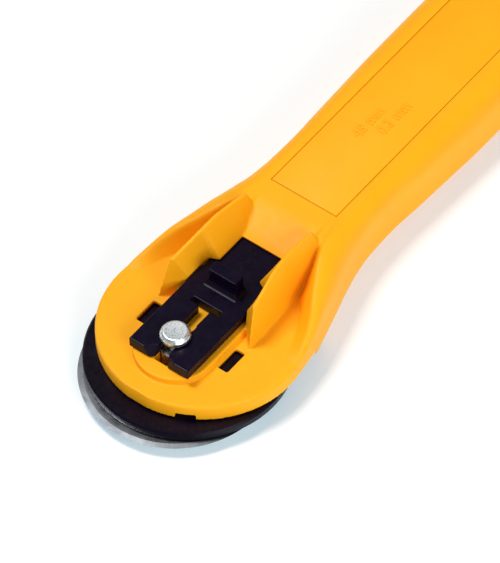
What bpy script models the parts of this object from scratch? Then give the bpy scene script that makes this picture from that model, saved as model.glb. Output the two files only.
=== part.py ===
"""Rotary cutter, 45 mm blade: moulded handle, sliding blade guard, turning blade on a drop-in axle pin.

Frame: metres, +Z up.  The cutter lies on its back, blade side down.  The origin is on the blade's
axis at the level of the table, +X runs along the handle towards its free end.
"""
import math

import bmesh
import bpy
import numpy as np

MM = 0.001
GAP = 0.3 * MM                      # running gap between pieces that lie against each other
OVERLAP = 1.0 * MM                  # run of a cutter or joined solid past the face that it meets

# Blade and axle
BLADE_RADIUS = 22.5 * MM
BLADE_HOLE_RADIUS = 4.0 * MM
BLADE_THICKNESS = 0.3 * MM
BLADE_BEVEL = 1.3 * MM
BLADE_LOW = 2.6 * MM
PIN_CAP_RADIUS = 6.8 * MM
PIN_SEAT_RADIUS = 3.9 * MM
PIN_SHAFT_RADIUS = 3.5 * MM
PIN_NECK_RADIUS = 1.5 * MM
PIN_HEAD_RADIUS = 3.55 * MM
PIN_HEAD_CHAMFER = 0.95 * MM
PIN_TOP = 16.9 * MM

# Travel of the lever and guard: rest is the open, cutting position
TRAVEL_CLOSE = 4.5 * MM             # towards -X, guard covers the blade
TRAVEL_RELEASE = 8.3 * MM           # towards +X, lever clears the pin for a blade change

# Guard
GUARD_RADIUS = 24.1 * MM
GUARD_CENTRE_X = TRAVEL_CLOSE       # the closed guard is concentric with the blade
GUARD_LOW = BLADE_LOW + BLADE_THICKNESS + GAP
GUARD_HIGH = 5.1 * MM
LEG_X = (14.0 * MM, 18.0 * MM)
LEG_Y = (5.0 * MM, 6.8 * MM)
LEG_HIGH = 13.2 * MM
RAIL_X = (-4.7 * MM, 13.4 * MM)     # guide rails that show, black, through the head's windows
RAIL_Y = (10.2 * MM, 13.1 * MM)
RAIL_HIGH = 8.4 * MM

# Head of the handle
HEAD_RADIUS = 24.6 * MM
HEAD_CENTRE_X = 9.9 * MM
HEAD_LOW = GUARD_HIGH + 0.4 * MM
HEAD_HIGH = 9.7 * MM
EDGE_ROUND = 0.8 * MM
HUB_RADIUS = 4.8 * MM
PLATFORM_RADIUS = 9.7 * MM
PLATFORM_HIGH = 11.4 * MM
PLATFORM_REAR = 20.0 * MM
WINDOW_X = (1.9 * MM, 8.5 * MM)
WINDOW_Y = (10.3 * MM, 13.0 * MM)
NOTCH_HALF = (2.5 * MM, 2.4 * MM)   # notch in the rim: half its depth and half its width
NOTCH_RISE = 1.4 * MM
NOTCH_BEARING = 208                 # degrees round from +X

# Lever
LEVER_LOW = PLATFORM_HIGH + GAP
LEVER_HIGH = 14.4 * MM
LEVER_FRONT = -6.3 * MM
LEVER_WIDE_END = 20.4 * MM
LEVER_HALF = 8.3 * MM
TAIL_END = 38.2 * MM
TAIL_HALF = 7.5 * MM
SLOT_HALF = 1.65 * MM
SLOT_SEAT_RADIUS = 1.95 * MM
# Lead-in of the slot as (height, x of its throat, half width there, half width 1 mm before the front)
LEAD_IN = ((LEVER_LOW - 0.2 * MM, -5.7 * MM, 1.7 * MM, 3.6 * MM),
           (LEVER_HIGH + 0.2 * MM, -4.0 * MM, 1.9 * MM, 5.6 * MM))
CROSS_X = (10.5 * MM, 11.8 * MM)
CROSS_HALF = 4.1 * MM
# Thumb tab as (height, front edge, rear edge, half width), from inside the plate to the top
TAB_RINGS = ((LEVER_HIGH - OVERLAP, 15.7 * MM, 20.6 * MM, 4.6 * MM),
             (LEVER_HIGH + 0.4 * MM, 16.4 * MM, 20.3 * MM, 4.2 * MM),
             (LEVER_HIGH + 1.6 * MM, 17.2 * MM, 20.1 * MM, 3.8 * MM),
             (18.9 * MM, 16.9 * MM, 20.1 * MM, 3.8 * MM),
             (19.2 * MM, 17.2 * MM, 19.8 * MM, 3.5 * MM))

# Grip
TOP = 17.9 * MM
FOOT_ROUND = 4.4 * MM               # radius along the underside's edge
SHOULDER_DROP = 1.07                # fall of the shoulder for each unit that it runs outwards
GRIP_ROUND_START = 130.0 * MM
GRIP_END = 152.5 * MM
END_DROP = 2.4 * MM                 # fall of the grip's top towards its free end
CHANNEL_ROOF = LEVER_HIGH + GAP
CHANNEL_HALF = LEVER_HALF + GAP
CHANNEL_FRONT = -12.0 * MM
CHANNEL_WIDE_END = 12.6 * MM
TUNNEL_HALF = TAIL_HALF + GAP
COVER_X = (47.2 * MM, 136.0 * MM)
COVER_HALF = 9.36 * MM
COVER_THICKNESS = 1.7 * MM
CELL_COUNT = 6
CELL_HALF = 7.6 * MM
CELL_RIB = 1.8 * MM
CELL_FLOOR = 3.0 * MM
HANG_X = (140.4 * MM, 148.0 * MM)
HANG_RADIUS = 3.2 * MM

# Lines of the handle, in millimetres, as (distance along the handle, value)
HALF_WIDTH = ((9.9, 24.6), (15, 24.1), (20, 23.3), (26.5, 21.5), (33.4, 19.5), (40, 17.5),
              (47, 15.8), (54, 14.9), (62, 14.7), (70, 15.2), (78, 15.6), (95, 16.3),
              (112, 16.4), (130, 15.8))
CREST_Y = ((9.9, 23.8), (15, 23.3), (18.9, 22.2), (22.6, 20.5), (25.6, 18.7), (29.6, 16.3),
           (32.6, 14.6), (37, 12.7), (42, 11.4), (48, 10.7), (60, 10.4), (130, 10.6))
CREST_Z = ((9.9, 9.7), (12.5, 9.8), (15, 10.5), (18.9, 11.8), (22.6, 13.5), (25.6, 15.0),
           (29.6, 16.3), (33, 17.4), (37, 18.2), (41, 18.3), (48, 17.9), (130, 17.9))
POCKET_Y = ((9.9, 22.2), (14.3, 20.6), (18.4, 19.1), (22.4, 17.1), (25.8, 15.1), (29, 12.7),
            (33.7, 12.1), (40, 11.0), (46, 10.2), (52, 9.4), (130, 9.2))
POCKET_Z = ((9.9, 9.7), (29, 9.7), (33.7, 13.2), (40, 17.9), (130, 17.9))

# Lines of the two ribs beside the lever: outer foot, crest, and the lower edge of the inner face
RIB_STATIONS = (15.5, 18, 20, 22, 23.6, 25.5, 27.8, 30, 31.8, 33.5, 35, 36.5, 37.7, 38.3, 39, 40)
RIB_OUTER_Y = ((9.8, 13.1), (24.1, 12.5), (29, 11.9), (33.7, 12.0), (40, 10.8))
RIB_CREST_Y = ((13.5, 11.65), (18.1, 11.05), (22.6, 10.4), (27.8, 10.04), (38.3, 9.5), (40, 9.4))
RIB_CREST_Z = ((13.5, 20.3), (18.1, 21.4), (22.6, 22.6), (27.8, 23.2), (33, 22.5), (37.7, 21.4),
               (38.3, 21.0), (40, 17.5))
RIB_INNER_Y = ((9.8, 8.2), (22, 8.2), (23.6, 5.7), (31.8, 5.7), (40, 8.2))
RIB_INNER_Z = ((9.8, 14.6), (22, 14.6), (23.6, 15.2), (31.8, 15.2), (35, 15.6), (40, 17.2))
RAMP_Z = ((31.8, 15.2), (34, 15.5), (36, 16.1), (38, 16.75), (40, 17.3), (42, 17.65), (44.5, 17.8))
RAMP_STATIONS = (30.5, 31.8, 33.5, 35, 36.5, 38, 39.5, 41, 42.5, 44.5)
RIB_CREST_HALF = 0.3 * MM
RIB_FOOT_OUTER = (9.8 * MM, 13.1 * MM)
RIB_FOOT_INNER = (14.2 * MM, 8.3 * MM)
RIB_SINK = 0.4 * MM                 # how far the outer foot of a rib stands in the pocket's floor
HOLLOW_FLARE = 1.5 * MM             # the cleared space above the ramp is wider at its top
HOLLOW_RISE = 0.02 * MM
RIB_FRONT_LEAN = 0.224              # run towards +X for each unit that the rib's front face rises


def clear_scene():
    for item in list(bpy.data.objects):
        bpy.data.objects.remove(item, do_unlink=True)


def new_collection(name):
    collection = bpy.data.collections.new(name)
    bpy.context.scene.collection.children.link(collection)
    return collection


def new_material(name, colour, roughness, metallic=0.0):
    material = bpy.data.materials.new(name)
    material.use_nodes = True
    shader = material.node_tree.nodes["Principled BSDF"]
    shader.inputs["Base Color"].default_value = (*colour, 1.0)
    shader.inputs["Roughness"].default_value = roughness
    shader.inputs["Metallic"].default_value = metallic
    return material


def add_mesh(name, bm, collection):
    """Object holding the mesh that bm describes, with its faces pointing out."""
    bmesh.ops.recalc_face_normals(bm, faces=bm.faces)
    mesh = bpy.data.meshes.new(name)
    bm.to_mesh(mesh)
    bm.free()
    item = bpy.data.objects.new(name, mesh)
    collection.objects.link(item)
    return item


def box(name, low, high, collection):
    bm = bmesh.new()
    bmesh.ops.create_cube(bm, size=1.0)
    for vertex in bm.verts:
        vertex.co = [a + (c + 0.5) * (b - a) for a, b, c in zip(low, high, vertex.co)]
    return add_mesh(name, bm, collection)


def cylinder(name, radius, x, low, high, collection, segments=48):
    bm = bmesh.new()
    bmesh.ops.create_cone(bm, cap_ends=True, segments=segments, radius1=radius, radius2=radius,
                          depth=high - low)
    bmesh.ops.translate(bm, verts=bm.verts, vec=(x, 0.0, (low + high) / 2))
    return add_mesh(name, bm, collection)


def loft(name, rings, collection):
    """Closed solid through rings that all have the same number of points."""
    bm = bmesh.new()
    loops = [[bm.verts.new(point) for point in ring] for ring in rings]
    for first, second in zip(loops, loops[1:]):
        for i in range(len(first)):
            j = (i + 1) % len(first)
            bm.faces.new((first[i], first[j], second[j], second[i]))
    bmesh.ops.triangulate(bm, faces=bm.faces)
    bm.faces.new(loops[0])
    bm.faces.new(loops[-1])
    return add_mesh(name, bm, collection)


def flat_plate(name, outline, low, high, collection):
    """Plate with the given outline in X and Y, from one height to another."""
    curve = bpy.data.curves.new(name, "CURVE")
    curve.dimensions = "2D"
    curve.fill_mode = "BOTH"
    curve.extrude = (high - low) / 2
    spline = curve.splines.new("POLY")
    spline.points.add(len(outline) - 1)
    for point, (x, y) in zip(spline.points, outline):
        point.co = (x, y, 0.0, 1.0)
    spline.use_cyclic_u = True
    guide = bpy.data.objects.new(name + "_outline", curve)
    guide.location.z = (low + high) / 2
    collection.objects.link(guide)
    bpy.context.view_layer.update()
    evaluated = guide.evaluated_get(bpy.context.evaluated_depsgraph_get())
    bm = bmesh.new()
    bm.from_mesh(bpy.data.meshes.new_from_object(evaluated))
    bmesh.ops.remove_doubles(bm, verts=bm.verts, dist=0.001 * MM)
    bmesh.ops.translate(bm, verts=bm.verts, vec=guide.location)
    bpy.data.objects.remove(guide, do_unlink=True)
    return add_mesh(name, bm, collection)


def turned(name, profile, collection, steps=64):
    """Solid of revolution about the blade's axis from (radius, height) points, top to bottom."""
    mesh = bpy.data.meshes.new(name)
    edges = [(i, i + 1) for i in range(len(profile) - 1)]
    mesh.from_pydata([(radius, 0.0, height) for radius, height in profile], edges, [])
    item = bpy.data.objects.new(name, mesh)
    collection.objects.link(item)
    screw = item.modifiers.new("turn", "SCREW")
    screw.steps = steps
    screw.render_steps = steps
    screw.use_merge_vertices = True
    screw.merge_threshold = 0.01 * MM
    screw.use_smooth_shade = True
    return item


def combine(target, operand, operation):
    boolean = target.modifiers.new(operand.name, "BOOLEAN")
    boolean.operation = operation
    boolean.solver = "EXACT"
    boolean.object = operand
    operand.hide_render = True
    operand.display_type = "WIRE"


def finish_piece(item, material):
    item.data.materials.append(material)
    item.data.shade_smooth()
    item.data.set_sharp_from_angle(angle=math.radians(30))


def arc(centre_x, centre_y, radius, start, stop, count):
    """Points of an arc in X and Y, with the angles in degrees."""
    angles = np.radians(np.linspace(start, stop, count))
    return [(centre_x + radius * math.cos(a), centre_y + radius * math.sin(a)) for a in angles]


def line_value(points, x):
    """Smooth value of a handle line at x, without overshoot between its points."""
    xs, ys = np.array(points, dtype=float).T
    x = min(max(x / MM, xs[0]), xs[-1])
    i = min(max(int(np.searchsorted(xs, x)) - 1, 0), len(xs) - 2)
    slopes = np.diff(ys) / np.diff(xs)

    def tangent(k):
        if k in (0, len(xs) - 1) or slopes[k - 1] * slopes[k] <= 0.0:
            return 0.0
        return 2.0 * slopes[k - 1] * slopes[k] / (slopes[k - 1] + slopes[k])

    span = xs[i + 1] - xs[i]
    t = (x - xs[i]) / span
    near = (1 + 2 * t) * (1 - t) ** 2 * ys[i] + t * (1 - t) ** 2 * span * tangent(i)
    far = t * t * (3 - 2 * t) * ys[i + 1] - t * t * (1 - t) * span * tangent(i + 1)
    return (near + far) * MM


def ring_at(x, half_width, pocket, crest):
    """Cross-section of the handle: pocket and crest are (y, z) on its right-hand half."""
    shoulder_z = crest[1] - SHOULDER_DROP * (half_width - crest[0])
    half = [(0.0, pocket[1]), pocket, crest]
    for degrees in (25, 50, 75):
        angle = math.radians(degrees)
        half.append((crest[0] + (half_width - crest[0]) * math.sin(angle),
                     shoulder_z + (crest[1] - shoulder_z) * math.cos(angle)))
    half.append((half_width, shoulder_z))
    foot = min(FOOT_ROUND, 0.5 * half_width)
    for degrees in (0, 30, 60, 90):
        angle = math.radians(degrees)
        half.append((half_width - foot * (1 - math.cos(angle)), foot * (1 - math.sin(angle))))
    half.append((0.0, 0.0))
    mirrored = [(-y, z) for y, z in reversed(half[1:-1])]
    return [(x, y, z) for y, z in half + mirrored]


def head_rings():
    """Round nose of the head, from its tip to just in front of the ribs."""
    rings = []
    for degrees in (7, 13, 20, 28, 36, 44, 52, 60, 68, 76, 83):
        angle = math.radians(degrees)
        half_width = HEAD_RADIUS * math.sin(angle)
        pocket = (0.6 * half_width, HEAD_HIGH)
        crest = (half_width - EDGE_ROUND, HEAD_HIGH)
        rings.append(ring_at(HEAD_CENTRE_X - HEAD_RADIUS * math.cos(angle), half_width,
                             pocket, crest))
    return rings


def body_rings():
    """Side pockets, their outer slopes and the grip, up to where the end rounding starts."""
    stations = [9.9, 12, 14, 16, 18, 20, 22, 24, 26, 28, 29.5, 31, 32.5, 34, 35.5, 37, 39.1,
                42, 45, 48, 52, 57, 62, 70, 78, 88, 98, 112, 122]
    rings = []
    for station in stations:
        x = station * MM
        pocket = (line_value(POCKET_Y, x), line_value(POCKET_Z, x))
        crest = (line_value(CREST_Y, x), line_value(CREST_Z, x))
        rings.append(ring_at(x, line_value(HALF_WIDTH, x), pocket, crest))
    return rings


def end_rings():
    """Rounded free end of the grip, with its top sloping down a little."""
    rings = []
    length = GRIP_END - GRIP_ROUND_START
    full = line_value(HALF_WIDTH, GRIP_ROUND_START)
    for degrees in (0, 15, 30, 42, 54, 64, 73, 81):
        angle = math.radians(degrees)
        scale = math.cos(angle)
        top = TOP - END_DROP * math.sin(angle) ** 2
        pocket = (line_value(POCKET_Y, GRIP_ROUND_START) * scale, top)
        crest = (line_value(CREST_Y, GRIP_ROUND_START) * scale, top)
        rings.append(ring_at(GRIP_ROUND_START + length * math.sin(angle), full * scale,
                             pocket, crest))
    return rings


def rib_ring(x, side):
    """Section of a rib; with no x given, its points lie on the leaning front face."""
    foot_run = (RIB_FOOT_INNER[0] - RIB_FOOT_OUTER[0]) / (RIB_FOOT_OUTER[1] - RIB_FOOT_INNER[1])
    at = x or RIB_FOOT_OUTER[0]
    low = HEAD_HIGH - OVERLAP
    outer = line_value(RIB_OUTER_Y, at)
    crest = line_value(RIB_CREST_Y, at)
    high = line_value(RIB_CREST_Z, at)
    inner = line_value(RIB_INNER_Y, at)
    points = [(outer, low), (outer, line_value(POCKET_Z, at) - RIB_SINK),
              (crest + RIB_CREST_HALF, high), (crest - RIB_CREST_HALF, high),
              (inner, line_value(RIB_INNER_Z, at)), (inner, low)]

    def front_x(y, z):
        return RIB_FOOT_OUTER[0] + (RIB_FOOT_OUTER[1] - y) * foot_run + (z - HEAD_HIGH) * RIB_FRONT_LEAN

    return [(x or front_x(y, z), side * y, z) for y, z in points]


def rib(side, cutters):
    """Thin fin beside the lever, higher than the grip, sinking into the grip at its rear end."""
    name = "rib_left" if side > 0 else "rib_right"
    rings = [rib_ring(x and x * MM, side) for x in (None,) + RIB_STATIONS]
    return loft(name, rings, cutters)


def ramp_section(x, low, high, flare):
    """Flat-sided section between the ribs, wider at its top by flare on each side."""
    half = line_value(RIB_INNER_Y, x) + 0.5 * MM
    return [(x, -half, low), (x, half, low), (x, half + flare, high), (x, -half - flare, high)]


def hollow_cutter(cutters):
    """Clears the grip's top above the ramp that runs down to the lever."""
    rings = []
    for station in RAMP_STATIONS:
        x = station * MM
        low = line_value(RAMP_Z, x) + HOLLOW_RISE
        rings.append(ramp_section(x, low, TOP + OVERLAP, HOLLOW_FLARE))
    return loft("hollow_cutter", rings, cutters)


def ramp(cutters):
    """Fill between the ribs behind the lever's trough, rising to the grip's top face."""
    rings = []
    for station in RAMP_STATIONS[1:]:
        x = station * MM
        rings.append(ramp_section(x, HEAD_HIGH - OVERLAP, line_value(RAMP_Z, x), 0.0))
    return loft("ramp", rings, cutters)


def channel_cutter(cutters):
    """Slideway of the lever: trims the platform's top, then runs back under the ramp."""
    wide = PLATFORM_RADIUS + 0.2 * MM
    narrow_start = LEVER_WIDE_END + TRAVEL_RELEASE + GAP
    end = TAIL_END + TRAVEL_RELEASE + GAP
    right = [(CHANNEL_FRONT, wide), (CHANNEL_WIDE_END, wide), (CHANNEL_WIDE_END, CHANNEL_HALF),
             (narrow_start, CHANNEL_HALF), (narrow_start, TUNNEL_HALF), (end, TUNNEL_HALF)]
    outline = right + [(x, -y) for x, y in reversed(right)]
    return flat_plate("channel_cutter", outline, PLATFORM_HIGH, CHANNEL_ROOF, cutters)


def recess_cutter(cutters):
    """Space under the head for the guard, out to where the guard stands when released."""
    centre = GUARD_CENTRE_X + TRAVEL_RELEASE
    outline = arc(centre, 0.0, GUARD_RADIUS + GAP, -75, 75, 33)
    corner_x = outline[-1][0]
    side = HEAD_RADIUS + 3.0 * MM
    outline += [(corner_x, side), (-20.0 * MM, side), (-20.0 * MM, -side), (corner_x, -side)]
    return flat_plate("recess_cutter", outline, -OVERLAP, HEAD_LOW, cutters)


def platform(cutters):
    outline = arc(0.0, 0.0, PLATFORM_RADIUS, 90, 270, 24)
    outline += [(PLATFORM_REAR, -PLATFORM_RADIUS), (PLATFORM_REAR, PLATFORM_RADIUS)]
    return flat_plate("platform", outline, HEAD_HIGH - OVERLAP, PLATFORM_HIGH + 0.1 * MM, cutters)


def boxes(name, spans, collection):
    """One object of separate boxes, each given as its low and high corners."""
    bm = bmesh.new()
    for low, high in spans:
        cube = bmesh.ops.create_cube(bm, size=1.0)
        for vertex in cube["verts"]:
            vertex.co = [a + (c + 0.5) * (b - a) for a, b, c in zip(low, high, vertex.co)]
    return add_mesh(name, bm, collection)


def window_cutter(cutters):
    spans = [((WINDOW_X[0], low, HEAD_LOW - OVERLAP), (WINDOW_X[1], high, HEAD_HIGH + OVERLAP))
             for low, high in (WINDOW_Y, (-WINDOW_Y[1], -WINDOW_Y[0]))]
    return boxes("window_cutter", spans, cutters)


def rail_groove_cutter(cutters):
    """Grooves in the head's underside for the guard's guide rails."""
    front = RAIL_X[0] - TRAVEL_CLOSE - GAP
    rear = RAIL_X[1] + TRAVEL_RELEASE + GAP
    near = RAIL_Y[0] - GAP
    far = RAIL_Y[1] + GAP
    spans = [((front, low, HEAD_LOW - OVERLAP), (rear, high, RAIL_HIGH + GAP))
             for low, high in ((near, far), (-far, -near))]
    return boxes("rail_groove_cutter", spans, cutters)


def pin_slot_cutter(cutters):
    """Slot that runs forward from the pin's hole, under the open front of the lever's slot."""
    half = PIN_NECK_RADIUS + 2 * GAP
    low = (LEVER_FRONT + 2 * GAP, -half, 0.0)
    return box("pin_slot", low, (-OVERLAP, half, TOP), cutters)


def leg_slot_cutter(cutters):
    """Slots under the lever in which the guard's legs travel."""
    clear = 0.4 * MM
    front = LEG_X[0] - TRAVEL_CLOSE - clear
    rear = LEG_X[1] + TRAVEL_RELEASE + clear
    near = LEG_Y[0] - GAP
    far = LEG_Y[1] + GAP
    spans = [((front, low, HEAD_LOW - OVERLAP), (rear, high, PLATFORM_HIGH + OVERLAP))
             for low, high in ((near, far), (-far, -near))]
    return boxes("leg_slot_cutter", spans, cutters)


def cell_cutter(cutters):
    """Cored cells of the grip, with a rib left between one cell and the next."""
    start = COVER_X[0] + 3.0 * MM
    pitch = (COVER_X[1] - 3.0 * MM - start + CELL_RIB) / CELL_COUNT
    spans = [((start + i * pitch, -CELL_HALF, CELL_FLOOR),
              (start + (i + 1) * pitch - CELL_RIB, CELL_HALF, TOP)) for i in range(CELL_COUNT)]
    return boxes("cell_cutter", spans, cutters)


def cover_cutter(cutters):
    side = COVER_HALF + GAP / 2
    low = (COVER_X[0] - GAP / 2, -side, TOP - COVER_THICKNESS - GAP)
    return box("cover_cutter", low, (COVER_X[1] + GAP / 2, side, TOP + OVERLAP), cutters)


def notch_cutter(cutters):
    """Small notch in the lower edge of the head's rim."""
    depth, width = NOTCH_HALF
    low = (-depth, -width, HEAD_LOW - OVERLAP)
    item = box("notch_cutter", low, (depth, width, HEAD_LOW + NOTCH_RISE), cutters)
    angle = math.radians(NOTCH_BEARING)
    item.location = (HEAD_CENTRE_X + HEAD_RADIUS * math.cos(angle), HEAD_RADIUS * math.sin(angle), 0.0)
    item.rotation_euler.z = angle
    return item


def hanging_hole_cutter(cutters):
    outline = arc(HANG_X[0] + HANG_RADIUS, 0.0, HANG_RADIUS, 90, 270, 13)
    outline += arc(HANG_X[1] - HANG_RADIUS, 0.0, HANG_RADIUS, -90, 90, 13)
    return flat_plate("hanging_hole_cutter", outline, -OVERLAP, TOP + OVERLAP, cutters)


def make_handle_body(parts, cutters, material):
    body = loft("handle_body", head_rings() + body_rings() + end_rings(), parts)
    combine(body, hollow_cutter(cutters), "DIFFERENCE")
    combine(body, rib(1, cutters), "UNION")
    combine(body, rib(-1, cutters), "UNION")
    combine(body, ramp(cutters), "UNION")
    combine(body, platform(cutters), "UNION")
    combine(body, recess_cutter(cutters), "DIFFERENCE")
    hub = cylinder("hub", HUB_RADIUS, 0.0, GUARD_LOW, HEAD_LOW + OVERLAP, cutters)
    combine(body, hub, "UNION")
    combine(body, channel_cutter(cutters), "DIFFERENCE")
    pin_hole = cylinder("pin_hole", PIN_SHAFT_RADIUS + 0.2 * MM, 0.0, 0.0, TOP, cutters)
    combine(body, pin_hole, "DIFFERENCE")
    combine(body, pin_slot_cutter(cutters), "DIFFERENCE")
    combine(body, window_cutter(cutters), "DIFFERENCE")
    combine(body, rail_groove_cutter(cutters), "DIFFERENCE")
    combine(body, leg_slot_cutter(cutters), "DIFFERENCE")
    combine(body, cover_cutter(cutters), "DIFFERENCE")
    combine(body, cell_cutter(cutters), "DIFFERENCE")
    combine(body, notch_cutter(cutters), "DIFFERENCE")
    combine(body, hanging_hole_cutter(cutters), "DIFFERENCE")
    finish_piece(body, material)


def make_grip_cover(parts, material):
    """Plate let into the top of the grip, closing its cored cells."""
    side = COVER_HALF - GAP / 2
    low = (COVER_X[0] + GAP / 2, -side, TOP - COVER_THICKNESS)
    cover = box("grip_cover", low, (COVER_X[1] - GAP / 2, side, TOP), parts)
    finish_piece(cover, material)


def make_slide_lever(parts, cutters, material):
    front = [(LEVER_FRONT, LEVER_HALF), (LEVER_WIDE_END, LEVER_HALF), (LEVER_WIDE_END, TAIL_HALF),
             (TAIL_END, TAIL_HALF)]
    outline = front + [(x, -y) for x, y in reversed(front)]
    lever = flat_plate("slide_lever", outline, LEVER_LOW, LEVER_HIGH, parts)
    rings = []
    for z, x_front, x_rear, half in TAB_RINGS:
        rings.append([(x_front, -half, z), (x_rear, -half, z), (x_rear, half, z), (x_front, half, z)])
    combine(lever, loft("thumb_tab", rings, cutters), "UNION")
    combine(lever, slot_cutter(cutters), "DIFFERENCE")
    combine(lever, lead_in_cutter(cutters), "DIFFERENCE")
    combine(lever, leg_pocket_cutter(cutters), "DIFFERENCE")
    finish_piece(lever, material)


def slot_cutter(cutters):
    """T-shaped slot, open at the front, with a round seat for the pin's neck open and closed."""
    half_angle = math.degrees(math.asin(SLOT_HALF / SLOT_SEAT_RADIUS))
    right = [(LEVER_FRONT - OVERLAP, SLOT_HALF)]
    for seat_x in (0.0, TRAVEL_CLOSE):
        right += arc(seat_x, 0.0, SLOT_SEAT_RADIUS, 180 - half_angle, half_angle, 9)
    right += [(CROSS_X[0], SLOT_HALF), (CROSS_X[0], CROSS_HALF), (CROSS_X[1], CROSS_HALF)]
    outline = right + [(x, -y) for x, y in reversed(right)]
    return flat_plate("slot_cutter", outline, LEVER_LOW - OVERLAP, LEVER_HIGH + OVERLAP, cutters)


def lead_in_cutter(cutters):
    """Funnel at the slot's open front, wider at the lever's top, that leads the pin's neck in."""
    mouth = LEVER_FRONT - OVERLAP
    rings = []
    for z, throat, near, far in LEAD_IN:
        rings.append([(throat, -near, z), (throat, near, z), (mouth, far, z), (mouth, -far, z)])
    return loft("lead_in_cutter", rings, cutters)


def leg_pocket_cutter(cutters):
    """Blind pockets in the underside of the lever that hold the tops of the guard's legs."""
    clear = GAP
    top = LEG_HIGH + clear
    spans = [((LEG_X[0] - clear, low, LEVER_LOW - OVERLAP), (LEG_X[1] + clear, high, top))
             for low, high in ((LEG_Y[0] - clear, LEG_Y[1] + clear),
                               (-LEG_Y[1] - clear, -LEG_Y[0] + clear))]
    return boxes("leg_pocket_cutter", spans, cutters)


def make_blade_guard(parts, cutters, material):
    guard = cylinder("blade_guard", GUARD_RADIUS, GUARD_CENTRE_X, GUARD_LOW, GUARD_HIGH, parts,
                     segments=96)
    spans = []
    for (front, rear), (near, far), high in ((LEG_X, LEG_Y, LEG_HIGH), (RAIL_X, RAIL_Y, RAIL_HIGH)):
        for low_y, high_y in ((near, far), (-far, -near)):
            spans.append(((front, low_y, GUARD_HIGH - OVERLAP), (rear, high_y, high)))
    raised = boxes("guard_legs_and_rails", spans, cutters)
    half = HUB_RADIUS + GAP
    outline = arc(-TRAVEL_RELEASE, 0.0, half, 90, 270, 17) + arc(TRAVEL_CLOSE, 0.0, half, -90, 90, 17)
    slot = flat_plate("guard_slot", outline, GUARD_LOW - OVERLAP, GUARD_HIGH + OVERLAP, cutters)
    combine(guard, raised, "UNION")
    combine(guard, slot, "DIFFERENCE")
    finish_piece(guard, material)


def make_blade(parts, material):
    high = BLADE_LOW + BLADE_THICKNESS
    middle = BLADE_LOW + BLADE_THICKNESS / 2
    edge = 0.02 * MM
    profile = [(BLADE_HOLE_RADIUS, high), (BLADE_RADIUS - BLADE_BEVEL, high),
               (BLADE_RADIUS, middle + edge), (BLADE_RADIUS, middle - edge),
               (BLADE_RADIUS - BLADE_BEVEL, BLADE_LOW), (BLADE_HOLE_RADIUS, BLADE_LOW),
               (BLADE_HOLE_RADIUS, high)]
    blade = turned("blade", profile, parts, steps=96)
    finish_piece(blade, material)


def make_axle_pin(parts, material):
    """Round pin: wide cap under the blade, seat in the blade's hole, neck held by the lever."""
    cap_high = BLADE_LOW - GAP
    seat_high = BLADE_LOW + BLADE_THICKNESS + 0.1 * MM
    neck_low = PLATFORM_HIGH + 0.1 * MM
    neck_high = LEVER_HIGH + GAP
    profile = [(0.0, PIN_TOP), (PIN_HEAD_RADIUS - PIN_HEAD_CHAMFER, PIN_TOP),
               (PIN_HEAD_RADIUS, PIN_TOP - 0.8 * MM), (PIN_HEAD_RADIUS, neck_high + 0.2 * MM),
               (PIN_HEAD_RADIUS - 0.2 * MM, neck_high), (PIN_NECK_RADIUS, neck_high),
               (PIN_NECK_RADIUS, neck_low), (PIN_SHAFT_RADIUS, neck_low),
               (PIN_SHAFT_RADIUS, seat_high), (PIN_SEAT_RADIUS, seat_high),
               (PIN_SEAT_RADIUS, cap_high), (PIN_CAP_RADIUS - 0.3 * MM, cap_high),
               (PIN_CAP_RADIUS, cap_high - 0.3 * MM), (PIN_CAP_RADIUS, 0.6 * MM),
               (PIN_CAP_RADIUS - 0.8 * MM, 0.0), (0.0, 0.0)]
    pin = turned("axle_pin", profile, parts, steps=48)
    finish_piece(pin, material)


def main():
    clear_scene()
    parts = new_collection("rotary_cutter")
    cutters = new_collection("cutters")
    yellow = new_material("handle_yellow", (1.0, 0.45, 0.02), 0.38)
    cover_yellow = new_material("cover_yellow", (1.0, 0.45, 0.02), 0.42)
    black = new_material("lever_black", (0.012, 0.009, 0.014), 0.42)
    guard_black = new_material("guard_black", (0.015, 0.011, 0.017), 0.45)
    steel = new_material("blade_steel", (0.56, 0.57, 0.58), 0.28, 1.0)
    plated = new_material("pin_plated", (0.7, 0.71, 0.73), 0.25, 1.0)
    make_handle_body(parts, cutters, yellow)
    make_grip_cover(parts, cover_yellow)
    make_slide_lever(parts, cutters, black)
    make_blade_guard(parts, cutters, guard_black)
    make_blade(parts, steel)
    make_axle_pin(parts, plated)


main()
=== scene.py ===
"""Rotary cutter, finished look: moulded yellow handle, black lever and guard, steel blade, plated pin.

Frame: metres, +Z up.  The blade's axis is Z through the origin, +X runs towards the handle's free end.
"""

import math

import bmesh
import bpy
import numpy as np
from mathutils import Matrix, Vector


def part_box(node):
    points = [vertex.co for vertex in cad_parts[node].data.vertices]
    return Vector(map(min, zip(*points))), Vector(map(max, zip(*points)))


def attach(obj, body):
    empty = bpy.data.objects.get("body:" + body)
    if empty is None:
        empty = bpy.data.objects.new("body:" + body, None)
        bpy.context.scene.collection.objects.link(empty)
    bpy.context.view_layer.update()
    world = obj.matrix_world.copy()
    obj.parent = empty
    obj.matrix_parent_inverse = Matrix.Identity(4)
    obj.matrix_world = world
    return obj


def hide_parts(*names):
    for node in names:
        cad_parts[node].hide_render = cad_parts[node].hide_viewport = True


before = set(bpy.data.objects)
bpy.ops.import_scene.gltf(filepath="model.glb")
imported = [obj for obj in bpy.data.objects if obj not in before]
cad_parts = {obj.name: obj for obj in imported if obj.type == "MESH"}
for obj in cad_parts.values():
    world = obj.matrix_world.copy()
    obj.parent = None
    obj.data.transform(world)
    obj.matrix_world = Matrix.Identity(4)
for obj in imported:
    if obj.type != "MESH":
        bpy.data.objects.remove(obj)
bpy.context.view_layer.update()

MM = 0.001

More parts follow.
